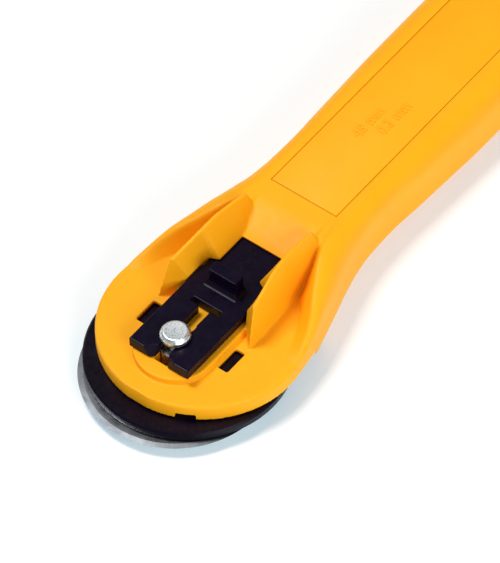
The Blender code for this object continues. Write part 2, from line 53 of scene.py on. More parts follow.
# Driving dimensions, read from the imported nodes
HANDLE_LOW, HANDLE_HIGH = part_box("handle_body")
LEVER_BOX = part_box("slide_lever")
GUARD_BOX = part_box("blade_guard")
BLADE_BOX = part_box("blade")
PIN_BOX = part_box("axle_pin")
COVER_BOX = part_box("grip_cover")

HEAD_RADIUS = 24.6 * MM
HEAD_CENTRE_X = HANDLE_LOW[0] + HEAD_RADIUS
GUARD_RADIUS = (GUARD_BOX[1][0] - GUARD_BOX[0][0]) / 2
GUARD_CENTRE_X = (GUARD_BOX[1][0] + GUARD_BOX[0][0]) / 2
BLADE_RADIUS = (BLADE_BOX[1][0] - BLADE_BOX[0][0]) / 2
BLADE_LOW = BLADE_BOX[0][2]
BLADE_HIGH = BLADE_BOX[1][2]
PIN_TOP = PIN_BOX[1][2]
TOP = COVER_BOX[1][2]
LEVER_LOW = LEVER_BOX[0][2]
LEVER_FRONT = LEVER_BOX[0][0]
LEVER_HALF = LEVER_BOX[1][1]
TAIL_END = LEVER_BOX[1][0]
GUARD_LOW = GUARD_BOX[0][2]
GRIP_END = HANDLE_HIGH[0]

GAP = 0.3 * MM                      # running gap between pieces that lie against each other
OVERLAP = 1.0 * MM                  # run of a cutter or joined solid past the face that it meets
TRAVEL_CLOSE = 4.5 * MM
TRAVEL_RELEASE = 8.3 * MM

# Blade and axle pin
BLADE_HOLE_RADIUS = 4.0 * MM
BLADE_BEVEL = 1.3 * MM
PIN_HEAD_RADIUS = 3.55 * MM
PIN_NECK_RADIUS = 1.5 * MM
PIN_SHAFT_RADIUS = 3.5 * MM
PIN_SHAFT_CLEARANCE = 0.2 * MM
PIN_SEAT_RADIUS = 3.9 * MM
PIN_CAP_RADIUS = 6.8 * MM

# Guard
GUARD_HIGH = 5.1 * MM
LEG_X = (14.0 * MM, 18.0 * MM)
LEG_Y = (5.0 * MM, 6.8 * MM)
LEG_HIGH = 13.2 * MM
LEG_SLOT_X = (9.1 * MM, 26.7 * MM)  # room for the legs in the head, over the lever's whole travel
RAIL_X = (-4.7 * MM, 13.4 * MM)
RAIL_Y = (10.2 * MM, 13.1 * MM)
RAIL_HIGH = 8.4 * MM
RAIL_GROOVE_X = (-9.5 * MM, 22.0 * MM)

# Head
HEAD_LOW = GUARD_HIGH + 0.4 * MM
HEAD_HIGH = 9.7 * MM
EDGE_ROUND = 0.8 * MM
HUB_RADIUS = 4.8 * MM
PLATFORM_RADIUS = 9.7 * MM
PLATFORM_REAR = 20.0 * MM
PLATFORM_HIGH = LEVER_LOW - GAP
WINDOW_X = (1.9 * MM, 8.5 * MM)
WINDOW_Y = (10.3 * MM, 13.0 * MM)
NOTCH_HALF = (2.5 * MM, 2.4 * MM)   # notch in the rim: half its depth and half its width
NOTCH_RISE = 1.4 * MM
NOTCH_BEARING = 208                 # degrees round from +X
CUT_CORNER = (-20.0 * MM, HEAD_RADIUS + 3.0 * MM)   # a place well outside the head

# Lever
LEVER_HIGH = 14.4 * MM
LEVER_WIDE_END = 20.4 * MM
TAIL_HALF = 7.5 * MM
SLOT_HALF = 1.65 * MM
SLOT_SEAT_RADIUS = 1.95 * MM
CROSS_X = (10.5 * MM, 11.8 * MM)
CROSS_HALF = 4.1 * MM
CHANNEL_ROOF = LEVER_HIGH + GAP
CHANNEL_FRONT = -12.0 * MM
CHANNEL_WIDE_END = 12.6 * MM
# Lead-in of the slot as (height, x of its throat, half width there, half width at its mouth)
LEAD_IN = ((LEVER_LOW - 0.2 * MM, -5.7 * MM, 1.7 * MM, 3.6 * MM),
           (LEVER_HIGH + 0.2 * MM, -4.0 * MM, 1.9 * MM, 5.6 * MM))
# Thumb tab, in millimetres, as (rise above the lever's top, front edge, rear edge, half width)
TAB_RINGS = ((-1.0, 15.9, 20.6, 4.6), (0.02, 15.9, 20.6, 4.6), (0.2, 16.3, 20.4, 4.35),
             (0.5, 16.65, 20.25, 4.15), (1.0, 16.95, 20.15, 4.0), (1.7, 17.15, 20.1, 3.9),
             (2.6, 17.25, 20.05, 3.8), (3.6, 17.2, 20.05, 3.8), (4.8, 16.95, 20.1, 3.85))

# Grip
GRIP_ROUND_START = 130.0 * MM
END_DROP = 2.4 * MM                 # fall of the grip's top towards its free end
END_SWEEP = 81                      # degrees of the end rounding that are lofted
HANG_X = (143.6 * MM, 144.8 * MM)   # centres of the hanging hole's two ends
HANG_RADIUS = 3.2 * MM
FOOT_ROUND = 4.4 * MM               # radius along the underside's edge
SHOULDER_DROP = 1.07                # fall of the shoulder for each unit that it runs outwards
COVER_GAP = 0.16 * MM

# Lines of the handle, in millimetres, as (distance along the handle, value)
HALF_WIDTH = ((9.9, 24.6), (15, 24.1), (20, 23.3), (26.5, 21.5), (33.4, 19.5), (40, 17.5),
              (47, 15.8), (54, 14.9), (62, 14.7), (70, 15.2), (78, 15.6), (95, 16.3),
              (112, 16.4), (130, 15.8))
CREST_Y = ((9.9, 23.8), (15, 23.3), (18.9, 22.2), (22.6, 20.5), (25.6, 18.7), (29.6, 16.3),
           (32.6, 14.6), (37, 12.7), (42, 11.4), (48, 10.7), (60, 10.4), (130, 10.6))
CREST_Z = ((9.9, 9.7), (12.5, 9.8), (15, 10.5), (18.9, 11.8), (22.6, 13.5), (25.6, 15.0),
           (29.6, 16.3), (33, 17.4), (37, 18.2), (41, 18.3), (48, 17.9), (130, 17.9))
POCKET_Y = ((9.9, 22.2), (14.3, 20.6), (18.4, 19.1), (22.4, 17.1), (25.8, 15.1), (29, 12.7),
            (33.7, 12.1), (40, 11.0), (46, 10.2), (52, 9.4), (130, 9.2))
POCKET_Z = ((9.9, 9.7), (29, 9.7), (33.7, 13.2), (40, 17.9), (130, 17.9))
RIB_OUTER_Y = ((9.8, 13.1), (24.1, 12.5), (29, 11.9), (33.7, 12.0), (40, 10.8))
RIB_CREST_Y = ((13.5, 11.65), (18.1, 11.05), (22.6, 10.4), (27.8, 10.04), (38.3, 9.5), (40, 9.4))
RIB_CREST_Z = ((13.5, 20.3), (18.1, 21.4), (22.6, 22.6), (27.8, 23.2), (33, 22.5), (37.7, 21.4),
               (38.3, 21.0), (40, 17.5))
RIB_INNER_Y = ((9.8, 8.2), (22, 8.2), (23.6, 5.7), (31.8, 5.7), (40, 8.2))
RIB_INNER_Z = ((9.8, 14.6), (22, 14.6), (23.6, 15.2), (31.8, 15.2), (35, 15.6), (40, 17.2))
RAMP_Z = ((31.8, 15.2), (34, 15.5), (36, 16.1), (38, 16.75), (40, 17.3), (42, 17.65),
          (44.5, 17.8), (47, 17.86))
RIB_CREST_HALF = 0.34 * MM
RIB_FOOT_OUTER = (9.8 * MM, 13.1 * MM)
RIB_FOOT_INNER = (14.2 * MM, 8.3 * MM)
RIB_FRONT_LEAN = 0.224              # run towards +X for each unit that the rib's front face rises
RIB_SINK = 0.4 * MM                 # how far the outer foot of a rib stands in the pocket's floor
HOLLOW_FLARE = 1.5 * MM             # the cleared space above the ramp is wider at its top
HOLLOW_RISE = 0.02 * MM

# Colours of the plastics
YELLOW_DEEP = (0.97, 0.415, 0.006)
YELLOW_PALE = (0.99, 0.435, 0.008)
LEVER_BLACK = (0.003, 0.0012, 0.008)
GUARD_BLACK = (0.003, 0.0015, 0.006)

cutters = []                        # operands of the modifiers that are not yet applied


# ---------------------------------------------------------------- mesh helpers

def add_mesh(name, bm):
    """Object holding the mesh that bm describes, with its faces pointing out."""
    bmesh.ops.recalc_face_normals(bm, faces=bm.faces)
    mesh = bpy.data.meshes.new(name)
    bm.to_mesh(mesh)
    bm.free()
    item = bpy.data.objects.new(name, mesh)
    bpy.context.scene.collection.objects.link(item)
    return item


def boxes(name, spans):
    """One object of separate boxes, each given as its low and high corners."""
    bm = bmesh.new()
    for low, high in spans:
        cube = bmesh.ops.create_cube(bm, size=1.0)
        for vertex in cube["verts"]:
            vertex.co = [a + (c + 0.5) * (b - a) for a, b, c in zip(low, high, vertex.co)]
    return add_mesh(name, bm)


def cylinder(name, radius, x, low, high, segments=96):
    bm = bmesh.new()
    bmesh.ops.create_cone(bm, cap_ends=True, segments=segments, radius1=radius, radius2=radius,
                          depth=high - low)
    bmesh.ops.translate(bm, verts=bm.verts, vec=(x, 0.0, (low + high) / 2))
    return add_mesh(name, bm)


def loft(name, rings):
    """Closed solid through rings that all have the same number of points."""
    bm = bmesh.new()
    loops = [[bm.verts.new(point) for point in ring] for ring in rings]
    for first, second in zip(loops, loops[1:]):
        for i in range(len(first)):
            j = (i + 1) % len(first)
            bm.faces.new((first[i], first[j], second[j], second[i]))
    bmesh.ops.triangulate(bm, faces=bm.faces)
    bm.faces.new(loops[0])
    bm.faces.new(loops[-1])
    return add_mesh(name, bm)


def plate(name, outline, low, high):
    """Upright prism over an outline in X and Y."""
    bm = bmesh.new()
    bottom = [bm.verts.new((x, y, low)) for x, y in outline]
    top = [bm.verts.new((x, y, high)) for x, y in outline]
    bm.faces.new(bottom)
    bm.faces.new(top)
    for i in range(len(outline)):
        j = (i + 1) % len(outline)
        bm.faces.new((bottom[i], bottom[j], top[j], top[i]))
    return add_mesh(name, bm)


def arc(centre_x, centre_y, radius, start, stop, count):
    """Points of an arc in X and Y, with the angles in degrees."""
    angles = np.radians(np.linspace(start, stop, count))
    return [(centre_x + radius * math.cos(a), centre_y + radius * math.sin(a)) for a in angles]


def combine(target, operand, operation):
    boolean = target.modifiers.new(operand.name, "BOOLEAN")
    boolean.operation = operation
    boolean.solver = "EXACT"
    boolean.object = operand
    cutters.append(operand)


def settle(item):
    """Applies every modifier and removes the operands that they used."""
    bpy.context.view_layer.update()
    evaluated = item.evaluated_get(bpy.context.evaluated_depsgraph_get())
    mesh = bpy.data.meshes.new_from_object(evaluated)
    item.modifiers.clear()
    old = item.data
    item.data = mesh
    bpy.data.meshes.remove(old)
    while cutters:
        bpy.data.objects.remove(cutters.pop(), do_unlink=True)


def mould(item, voxel, rounds):
    """Rounds every edge a little, as a moulded part has them."""
    remesh = item.modifiers.new("voxels", "REMESH")
    remesh.mode = "VOXEL"
    remesh.voxel_size = voxel
    remesh.use_smooth_shade = True
    smooth = item.modifiers.new("fillets", "SMOOTH")
    smooth.factor = 0.5
    smooth.iterations = rounds
    settle(item)
    item.data.shade_smooth()


def turned(name, profile, steps=192):
    """Solid of revolution about the blade's axis from (radius, height) points."""
    bm = bmesh.new()
    loops = []
    for step in range(steps):
        a = 2 * math.pi * step / steps
        loops.append([bm.verts.new((r * math.cos(a), r * math.sin(a), z)) for r, z in profile])
    count = len(profile)
    for step in range(steps):
        here, after = loops[step], loops[(step + 1) % steps]
        for i in range(count):
            j = (i + 1) % count
            bm.faces.new((here[i], here[j], after[j], after[i]))
    bmesh.ops.remove_doubles(bm, verts=bm.verts, dist=0.001 * MM)
    return add_mesh(name, bm)


def finish_piece(item, material, body, node):
    """Gives a piece its material, puts it on the body that it rides and hides the imported node that it
    stands for.
    """
    item.data.materials.clear()
    item.data.materials.append(material)
    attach(item, body)
    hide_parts(node)


# ---------------------------------------------------------------- handle

def line_value(points, x):
    """Smooth value of a handle line at x, without overshoot between its points."""
    xs, ys = np.array(points, dtype=float).T
    x = min(max(x / MM, xs[0]), xs[-1])
    i = min(max(int(np.searchsorted(xs, x)) - 1, 0), len(xs) - 2)
    slopes = np.diff(ys) / np.diff(xs)

    def tangent(k):
        if k in (0, len(xs) - 1) or slopes[k - 1] * slopes[k] <= 0.0:
            return 0.0
        return 2.0 * slopes[k - 1] * slopes[k] / (slopes[k - 1] + slopes[k])

    span = xs[i + 1] - xs[i]
    t = (x - xs[i]) / span
    near = (1 + 2 * t) * (1 - t) ** 2 * ys[i] + t * (1 - t) ** 2 * span * tangent(i)
    far = t * t * (3 - 2 * t) * ys[i + 1] - t * t * (1 - t) * span * tangent(i + 1)
    return (near + far) * MM


def ring_at(x, half_width, pocket, crest):
    """Cross-section of the handle: pocket and crest are (y, z) on its right-hand half."""
    shoulder_z = crest[1] - SHOULDER_DROP * (half_width - crest[0])
    half = [(0.0, pocket[1]), pocket, crest]
    for degrees in range(9, 90, 9):
        angle = math.radians(degrees)
        half.append((crest[0] + (half_width - crest[0]) * math.sin(angle),
                     shoulder_z + (crest[1] - shoulder_z) * math.cos(angle)))
    half.append((half_width, shoulder_z))
    foot = min(FOOT_ROUND, 0.5 * half_width)
    for degrees in range(0, 91, 15):
        angle = math.radians(degrees)
        half.append((half_width - foot * (1 - math.cos(angle)), foot * (1 - math.sin(angle))))
    half.append((0.0, 0.0))
    mirrored = [(-y, z) for y, z in reversed(half[1:-1])]
    return [(x, y, z) for y, z in half + mirrored]


def head_rings():
    """Round nose of the head, from its tip to just in front of the ribs."""
    rings = []
    for degrees in (7, 9, 11, 13) + tuple(range(16, 88, 3)):
        angle = math.radians(degrees)
        half_width = HEAD_RADIUS * math.sin(angle)
        rings.append(ring_at(HEAD_CENTRE_X - HEAD_RADIUS * math.cos(angle), half_width,
                             (0.6 * half_width, HEAD_HIGH), (half_width - EDGE_ROUND, HEAD_HIGH)))
    return rings


def body_rings():
    """Side pockets, their outer slopes and the grip, up to where the end rounding starts."""
    stations = list(np.arange(9.9, 60, 0.8)) + list(np.arange(60, 129, 2.5))
    rings = []
    for station in stations:
        x = station * MM
        rings.append(ring_at(x, line_value(HALF_WIDTH, x),
                             (line_value(POCKET_Y, x), line_value(POCKET_Z, x)),
                             (line_value(CREST_Y, x), line_value(CREST_Z, x))))
    return rings


def end_rings():
    """Rounded free end of the grip, with its top sloping down a little."""
    rings = []
    length = GRIP_END - GRIP_ROUND_START
    full = line_value(HALF_WIDTH, GRIP_ROUND_START)
    reach = math.sin(math.radians(END_SWEEP))
    for degrees in range(0, END_SWEEP + 1, 3):
        angle = math.radians(degrees)
        scale = math.cos(angle)
        top = TOP - END_DROP * math.sin(angle) ** 2
        rings.append(ring_at(GRIP_ROUND_START + length * math.sin(angle) / reach, full * scale,
                             (line_value(POCKET_Y, GRIP_ROUND_START) * scale, top),
                             (line_value(CREST_Y, GRIP_ROUND_START) * scale, top)))
    return rings


def rib_ring(x, side):
    """Section of a rib; with no x given, its points lie on the leaning front face."""
    foot_run = (RIB_FOOT_INNER[0] - RIB_FOOT_OUTER[0]) / (RIB_FOOT_OUTER[1] - RIB_FOOT_INNER[1])
    at = x or RIB_FOOT_OUTER[0]
    low = HEAD_HIGH - OVERLAP
    outer = line_value(RIB_OUTER_Y, at)
    crest = line_value(RIB_CREST_Y, at)
    high = line_value(RIB_CREST_Z, at)
    inner = line_value(RIB_INNER_Y, at)
    points = [(outer, low), (outer, line_value(POCKET_Z, at) - RIB_SINK),
              (crest + RIB_CREST_HALF, high), (crest - RIB_CREST_HALF, high),
              (inner, line_value(RIB_INNER_Z, at)), (inner, low)]

    def front_x(y, z):
        return RIB_FOOT_OUTER[0] + (RIB_FOOT_OUTER[1] - y) * foot_run + (z - HEAD_HIGH) * RIB_FRONT_LEAN

    return [(x or front_x(y, z), side * y, z) for y, z in points]


def rib(side):
    """Thin fin beside the lever, higher than the grip, sinking into the grip at its rear end."""
    name = "rib_left" if side > 0 else "rib_right"
    stations = [None] + [x * MM for x in np.arange(15.5, 40.1, 0.35)]
    return loft(name, [rib_ring(x, side) for x in stations])


def ramp_section(x, low, high, flare):
    """Flat-sided section between the ribs, wider at its top by flare on each side."""
    half = line_value(RIB_INNER_Y, x) + 0.5 * MM
    return [(x, -half, low), (x, half, low), (x, half + flare, high), (x, -half - flare, high)]


def hollow_cutter():
    """Clears the grip's top above the ramp that runs down to the lever."""
    rings = []
    for station in np.arange(30.5, 47.0, 0.8):
        x = station * MM
        low = line_value(RAMP_Z, x) + HOLLOW_RISE
        rings.append(ramp_section(x, low, TOP + OVERLAP, HOLLOW_FLARE))
    return loft("hollow", rings)


def ramp():
    """Fill between the ribs behind the lever's trough, rising to the grip's top face."""
    rings = []
    for station in np.arange(31.8, 46.0, 0.8):
        x = station * MM
        rings.append(ramp_section(x, HEAD_HIGH - OVERLAP, line_value(RAMP_Z, x), 0.0))
    return loft("ramp", rings)


def mirrored_spans(near, far, x_range, z_range):
    """Two equal boxes, one on each side of the handle's middle plane."""
    return [((x_range[0], low, z_range[0]), (x_range[1], high, z_range[1]))
            for low, high in ((near, far), (-far, -near))]


def mirrored_outline(right):
    """Closed outline from the points of its +Y half, front to rear."""
    return right + [(x, -y) for x, y in reversed(right)]


def channel_cutter():
    """Slideway of the lever: trims the platform's top, then runs back under the ramp."""
    wide = PLATFORM_RADIUS + 0.2 * MM
    half = LEVER_HALF + GAP
    tunnel = TAIL_HALF + GAP
    narrow_start = LEVER_WIDE_END + TRAVEL_RELEASE + GAP
    end = TAIL_END + TRAVEL_RELEASE + GAP
    right = [(CHANNEL_FRONT, wide), (CHANNEL_WIDE_END, wide), (CHANNEL_WIDE_END, half),
             (narrow_start, half), (narrow_start, tunnel), (end, tunnel)]
    return plate("channel", mirrored_outline(right), PLATFORM_HIGH, CHANNEL_ROOF)


def recess_cutter():
    """Space under the head for the guard, out to where the guard stands when released."""
    outline = arc(GUARD_CENTRE_X + TRAVEL_RELEASE, 0.0, GUARD_RADIUS + GAP, -75, 75, 65)
    corner_x = outline[-1][0]
    front, side = CUT_CORNER
    outline += [(corner_x, side), (front, side), (front, -side), (corner_x, -side)]
    return plate("recess", outline, -OVERLAP, HEAD_LOW)


def notch_cutter():
    """Small notch in the lower edge of the head's rim."""
    depth, width = NOTCH_HALF
    item = boxes("notch", [((-depth, -width, HEAD_LOW - OVERLAP), (depth, width, HEAD_LOW + NOTCH_RISE))])
    angle = math.radians(NOTCH_BEARING)
    item.location = (HEAD_CENTRE_X + HEAD_RADIUS * math.cos(angle), HEAD_RADIUS * math.sin(angle), 0.0)
    item.rotation_euler.z = angle
    return item


def soften_slopes(body):
    """Gives the outer slopes of the side pockets and the grip's shoulders a larger radius."""
    count = len(body.data.vertices)
    places = np.empty(count * 3, np.float32)
    body.data.vertices.foreach_get("co", places)
    x, y, z = places.reshape(-1, 3).T / MM
    far = np.clip((np.abs(y) - 13.0 + np.clip(x - 36.0, 0.0, 2.5)) / 2.0, 0.0, 1.0)
    weights = far * np.clip((z - 9.9) / 1.5, 0.0, 1.0) * np.clip((x - 12.0) / 4.0, 0.0, 1.0)
    weights *= np.clip((148.0 - x) / 6.0, 0.0, 1.0)
    group = body.vertex_groups.new(name="slopes")
    steps = np.round(weights * 10).astype(int)
    for step in range(1, 11):
        group.add(np.nonzero(steps == step)[0].tolist(), step / 10, "REPLACE")
    smooth = body.modifiers.new("slopes", "SMOOTH")
    smooth.factor = 0.5
    smooth.iterations = 90
    smooth.vertex_group = group.name
    settle(body)
    body.vertex_groups.clear()


def platform():
    """Raised round seat of the lever, with its flat sides running back between the ribs."""
    outline = arc(0.0, 0.0, PLATFORM_RADIUS, 90, 270, 48)
    outline += [(PLATFORM_REAR, -PLATFORM_RADIUS), (PLATFORM_REAR, PLATFORM_RADIUS)]
    return plate("platform", outline, HEAD_HIGH - OVERLAP, PLATFORM_HIGH + 0.1 * MM)


def cut_head(body):
    """Every opening of the head: guard recess, slideway, pin, windows, grooves, slots and notch."""
    combine(body, recess_cutter(), "DIFFERENCE")
    combine(body, cylinder("hub", HUB_RADIUS, 0.0, GUARD_LOW, HEAD_LOW + OVERLAP), "UNION")
    combine(body, channel_cutter(), "DIFFERENCE")
    hole_radius = PIN_SHAFT_RADIUS + PIN_SHAFT_CLEARANCE
    combine(body, cylinder("pin_hole", hole_radius, 0.0, 0.0, TOP), "DIFFERENCE")
    half = PIN_NECK_RADIUS + 2 * GAP
    pin_slot = ((LEVER_FRONT + 2 * GAP, -half, 0.0), (-OVERLAP, half, TOP))
    combine(body, boxes("pin_slot", [pin_slot]), "DIFFERENCE")
    low = HEAD_LOW - OVERLAP
    windows = mirrored_spans(*WINDOW_Y, WINDOW_X, (low, HEAD_HIGH + OVERLAP))
    combine(body, boxes("windows", windows), "DIFFERENCE")
    grooves = mirrored_spans(RAIL_Y[0] - GAP, RAIL_Y[1] + GAP, RAIL_GROOVE_X, (low, RAIL_HIGH + GAP))
    combine(body, boxes("grooves", grooves), "DIFFERENCE")
    slots = mirrored_spans(LEG_Y[0] - GAP, LEG_Y[1] + GAP, LEG_SLOT_X, (low, PLATFORM_HIGH + OVERLAP))
    combine(body, boxes("leg_slots", slots), "DIFFERENCE")
    combine(body, notch_cutter(), "DIFFERENCE")


def make_handle():
    body = loft("handle", head_rings() + body_rings() + end_rings())
    combine(body, hollow_cutter(), "DIFFERENCE")
    for part in (rib(1), rib(-1), ramp(), platform()):
        combine(body, part, "UNION")
    cut_head(body)
    hole = arc(HANG_X[0], 0.0, HANG_RADIUS, 90, 270, 25) + arc(HANG_X[1], 0.0, HANG_RADIUS, -90, 90, 25)
    combine(body, plate("hanging_hole", hole, -OVERLAP, TOP + OVERLAP), "DIFFERENCE")
    settle(body)
    mould(body, 0.22 * MM, 4)
    soften_slopes(body)
    low, high = COVER_BOX
    seat_low = (low[0] - COVER_GAP, low[1] - COVER_GAP, low[2] - 2 * COVER_GAP)
    seat_high = (high[0] + COVER_GAP, high[1] + COVER_GAP, TOP + OVERLAP)
    combine(body, boxes("cover_seat", [(seat_low, seat_high)]), "DIFFERENCE")
    settle(body)
    return body


def raised_words(words, place, size):
    """Mesh of raised figures that read along +X from the given place."""
    figures = bpy.data.curves.new("figures", "FONT")
    figures.body = words
    figures.size = size
    figures.extrude = 0.16 * MM
    figures.bevel_depth = 0.05 * MM
    guide = bpy.data.objects.new("figures", figures)
    bpy.context.scene.collection.objects.link(guide)
    bpy.context.view_layer.update()
    mesh = bpy.data.meshes.new_from_object(guide.evaluated_get(bpy.context.evaluated_depsgraph_get()))
    mesh.transform(Matrix.Translation(place))
    bpy.data.objects.remove(guide, do_unlink=True)
    return mesh


def make_cover():
    """Plate of the grip with its size in raised figures."""
    low, high = COVER_BOX
    cover = boxes("cover", [(low, high)])
    bevel = cover.modifiers.new("edge", "BEVEL")
    bevel.width = 0.12 * MM
    bevel.segments = 2
    settle(cover)
    bm = bmesh.new()
    bm.from_mesh(cover.data)
    for words, x, y in (("45 mm", 69.0 * MM, 0.6 * MM), ("0.3 mm", 73.0 * MM, -3.4 * MM)):
        bm.from_mesh(raised_words(words, (x, y, TOP), 3.6 * MM))
    bm.to_mesh(cover.data)
    bm.free()
    cover.data.shade_smooth()
    cover.data.set_sharp_from_angle(angle=math.radians(30))
    return cover


# ---------------------------------------------------------------- lever, guard, blade, pin

def thumb_tab():
    rings = []
    for rise, front, rear, half in TAB_RINGS:
        z = LEVER_HIGH + rise * MM
        rings.append([(x * MM, y * MM, z) for x, y in ((front, -half), (rear, -half),
                                                       (rear, half), (front, half))])
    return loft("tab", rings)


def slot_cutter():
    """T-shaped slot, open at the front, with a round seat for the pin's neck open and closed."""
    half_angle = math.degrees(math.asin(SLOT_HALF / SLOT_SEAT_RADIUS))
    right = [(LEVER_FRONT - OVERLAP, SLOT_HALF)]
    for seat_x in (0.0, TRAVEL_CLOSE):
        right += arc(seat_x, 0.0, SLOT_SEAT_RADIUS, 180 - half_angle, half_angle, 17)
    right += [(CROSS_X[0], SLOT_HALF), (CROSS_X[0], CROSS_HALF), (CROSS_X[1], CROSS_HALF)]
    return plate("slot", mirrored_outline(right), LEVER_LOW - OVERLAP, LEVER_HIGH + OVERLAP)


def lead_in_cutter():
    """Funnel at the slot's open front, wider at the lever's top, that leads the pin's neck in."""
    mouth = LEVER_FRONT - OVERLAP
    rings = [[(throat, -near, z), (throat, near, z), (mouth, far, z), (mouth, -far, z)]
             for z, throat, near, far in LEAD_IN]
    return loft("lead_in", rings)


def make_lever():
    right = [(LEVER_FRONT, LEVER_HALF), (LEVER_WIDE_END, LEVER_HALF), (LEVER_WIDE_END, TAIL_HALF),
             (TAIL_END, TAIL_HALF)]
    lever = plate("lever", mirrored_outline(right), LEVER_LOW, LEVER_HIGH)
    combine(lever, thumb_tab(), "UNION")
    combine(lever, slot_cutter(), "DIFFERENCE")
    combine(lever, lead_in_cutter(), "DIFFERENCE")
    pockets = mirrored_spans(LEG_Y[0] - GAP, LEG_Y[1] + GAP, (LEG_X[0] - GAP, LEG_X[1] + GAP),
                             (LEVER_LOW - OVERLAP, LEG_HIGH + GAP))
    combine(lever, boxes("leg_pockets", pockets), "DIFFERENCE")
    settle(lever)
    mould(lever, 0.14 * MM, 3)
    marks_at = (23.0 * MM, -1.2 * MM, LEVER_HIGH - 0.12 * MM)
    bm = bmesh.new()
    bm.from_mesh(lever.data)
    bm.from_mesh(raised_words(">>>", marks_at, 4.4 * MM))
    bm.to_mesh(lever.data)
    bm.free()
    return lever


def make_guard():
    profile = [(0.0, GUARD_HIGH), (GUARD_RADIUS - 0.4 * MM, GUARD_HIGH),
               (GUARD_RADIUS, GUARD_HIGH - 0.35 * MM), (GUARD_RADIUS, GUARD_LOW), (0.0, GUARD_LOW)]
    guard = turned("guard", profile, steps=256)
    guard.data.transform(Matrix.Translation((GUARD_CENTRE_X, 0.0, 0.0)))
    legs = mirrored_spans(*LEG_Y, LEG_X, (GUARD_HIGH - OVERLAP, LEG_HIGH))
    rails = mirrored_spans(*RAIL_Y, RAIL_X, (GUARD_HIGH - OVERLAP, RAIL_HIGH))
    combine(guard, boxes("raised", legs + rails), "UNION")
    half = HUB_RADIUS + GAP
    outline = arc(-TRAVEL_RELEASE, 0.0, half, 90, 270, 33) + arc(TRAVEL_CLOSE, 0.0, half, -90, 90, 33)
    combine(guard, plate("guard_slot", outline, GUARD_LOW - OVERLAP, GUARD_HIGH + OVERLAP), "DIFFERENCE")
    bevel = guard.modifiers.new("edges", "BEVEL")
    bevel.width = 0.15 * MM
    bevel.segments = 2
    bevel.limit_method = "ANGLE"
    bevel.angle_limit = math.radians(50)
    settle(guard)
    guard.data.shade_smooth()
    guard.data.set_sharp_from_angle(angle=math.radians(35))
    return guard


def make_blade():
    middle = (BLADE_LOW + BLADE_HIGH) / 2
    rim = 0.012 * MM
    inner = BLADE_RADIUS - BLADE_BEVEL
    hole = BLADE_HOLE_RADIUS
    wide_hole = hole + 0.05 * MM
    profile = [(hole, BLADE_HIGH - 0.03 * MM), (wide_hole, BLADE_HIGH), (inner, BLADE_HIGH),
               (BLADE_RADIUS, middle + rim), (BLADE_RADIUS, middle - rim), (inner, BLADE_LOW),
               (wide_hole, BLADE_LOW), (hole, BLADE_LOW + 0.03 * MM)]
    blade = turned("disc_blade", profile, steps=384)
    blade.data.shade_smooth()
    blade.data.set_sharp_from_angle(angle=math.radians(3))
    return blade


def make_pin():
    """Round pin: wide cap under the blade, seat in the blade's hole, neck held by the lever."""
    cap_high = BLADE_LOW - GAP
    seat_high = BLADE_HIGH + 0.1 * MM
    neck_low = PLATFORM_HIGH + 0.1 * MM
    neck_high = LEVER_HIGH + GAP
    head, neck, shaft = PIN_HEAD_RADIUS, PIN_NECK_RADIUS, PIN_SHAFT_RADIUS
    seat, cap = PIN_SEAT_RADIUS, PIN_CAP_RADIUS
    face = PIN_TOP - 0.02 * MM
    edge = 0.3 * MM
    profile = [(0.0, face), (2.1 * MM, face), (2.5 * MM, PIN_TOP)]
    for degrees in (0, 20, 40):
        angle = math.radians(degrees)
        profile.append((2.72 * MM + edge * math.sin(angle), PIN_TOP - edge + edge * math.cos(angle)))
    profile += [(head - 0.12 * MM, PIN_TOP - 0.72 * MM), (head, PIN_TOP - 0.95 * MM),
                (head, neck_high + 0.45 * MM), (head - 0.1 * MM, neck_high + 0.2 * MM),
                (head - 0.35 * MM, neck_high), (neck + 0.2 * MM, neck_high),
                (neck, neck_high - 0.2 * MM), (neck, neck_low + 0.2 * MM),
                (neck + 0.2 * MM, neck_low), (shaft - 0.2 * MM, neck_low),
                (shaft, neck_low - 0.2 * MM), (shaft, seat_high), (seat, seat_high),
                (seat, cap_high), (cap - 0.3 * MM, cap_high), (cap, cap_high - 0.3 * MM),
                (cap, 0.6 * MM), (cap - 0.2 * MM, 0.25 * MM), (cap - 0.8 * MM, 0.0), (0.0, 0.0)]
    pin = turned("pin", profile, steps=128)
    pin.data.shade_smooth()
    pin.data.set_sharp_from_angle(angle=math.radians(25))
    return pin


# ---------------------------------------------------------------- materials

